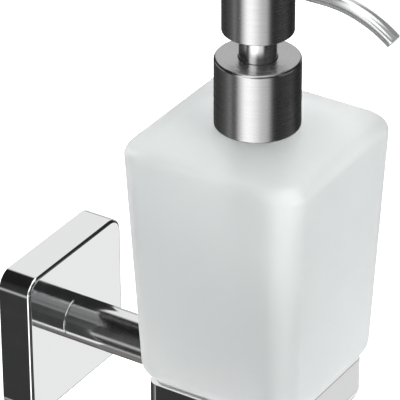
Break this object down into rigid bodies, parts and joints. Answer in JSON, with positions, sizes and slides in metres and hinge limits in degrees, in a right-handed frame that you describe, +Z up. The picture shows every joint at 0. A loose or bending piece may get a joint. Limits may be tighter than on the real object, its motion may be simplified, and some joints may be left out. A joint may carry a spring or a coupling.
{
  "type": "wall mounted soap dispenser",
  "caption": "Wall mounted soap dispenser: square wall plate and round arm carry a square cup that holds a tapered square frosted glass bottle with a press pump and swivelling spout.",
  "frame": {"origin": "centre of the wall plate's back face, on the wall", "axes": "+Z up, +Y into the wall, -Y out of the wall along the arm and the spout, +X to the right seen from the front"},
  "size_m": [0.0718, 0.1465, 0.1988],
  "materials": {
    "chrome": "polished",
    "brushed_steel": "satin, brushed",
    "zinc_steel": "zinc plated",
    "frosted_glass": "acid etched, frosted",
    "white_plastic": "moulded",
    "clear_plastic": "natural translucent",
    "black_rubber": "matt"
  },
  "bodies": {
    "wall_side": {"wall_bracket": "zinc_steel", "wall_screw_left": "zinc_steel", "wall_screw_right": "zinc_steel", "plate_cover": "chrome", "cover_grub_screw": "zinc_steel", "arm": "chrome", "arm_screw": "zinc_steel", "holder_cup": "chrome", "holder_screw": "zinc_steel", "holder_liner": "clear_plastic"},
    "bottle": {"glass_bottle": "frosted_glass"},
    "pump": {"neck_gasket": "black_rubber", "pump_housing": "clear_plastic", "lock_ring": "white_plastic", "ball_retainer": "white_plastic", "dip_tube": "clear_plastic"},
    "closure": {"closure_cap": "white_plastic", "collar_sleeve": "brushed_steel"},
    "inlet_valve": {"inlet_ball": "zinc_steel"},
    "plunger": {"piston": "white_plastic", "stem": "white_plastic", "return_spring": "zinc_steel"},
    "outlet_valve": {"outlet_ball": "zinc_steel"},
    "head": {"stem_sleeve": "chrome", "head_shell": "brushed_steel", "head_core": "white_plastic", "spout": "chrome"}
  },
  "joints": [
    {"name": "bottle_lift", "type": "slide", "parent": "wall_side", "child": "bottle", "axis": [0, 0, 1], "range_m": [0, 0.06]},
    {"name": "pump_rise", "type": "slide", "parent": "bottle", "child": "pump", "axis": [0, 0, 1], "range_m": [0, 0.0063]},
    {"name": "closure_turn", "type": "hinge", "parent": "pump", "child": "closure", "pos_m": [0, -0.092, 0.1068], "axis": [0, 0, 1], "range_deg": [0, 540]},
    {"name": "pump_press", "type": "slide", "parent": "pump", "child": "plunger", "axis": [0, 0, -1], "range_m": [0, 0.0095], "stiffness_N_per_m": 700, "springref_m": -0.009, "deforming": ["return_spring"]},
    {"name": "head_swivel", "type": "hinge", "parent": "plunger", "child": "head", "pos_m": [0, -0.092, 0.1435], "axis": [0, 0, 1], "continuous": true},
    {"name": "inlet_ball_lift", "type": "slide", "parent": "pump", "child": "inlet_valve", "axis": [0, 0, 1], "range_m": [0, 0.0012]},
    {"name": "outlet_ball_lift", "type": "slide", "parent": "plunger", "child": "outlet_valve", "axis": [0, 0, 1], "range_m": [0, 0.0012]}
  ],
  "couplings": [
    {"joint": "closure_turn", "follows": "pump_rise", "rad_per_m": 1496}
  ]
}
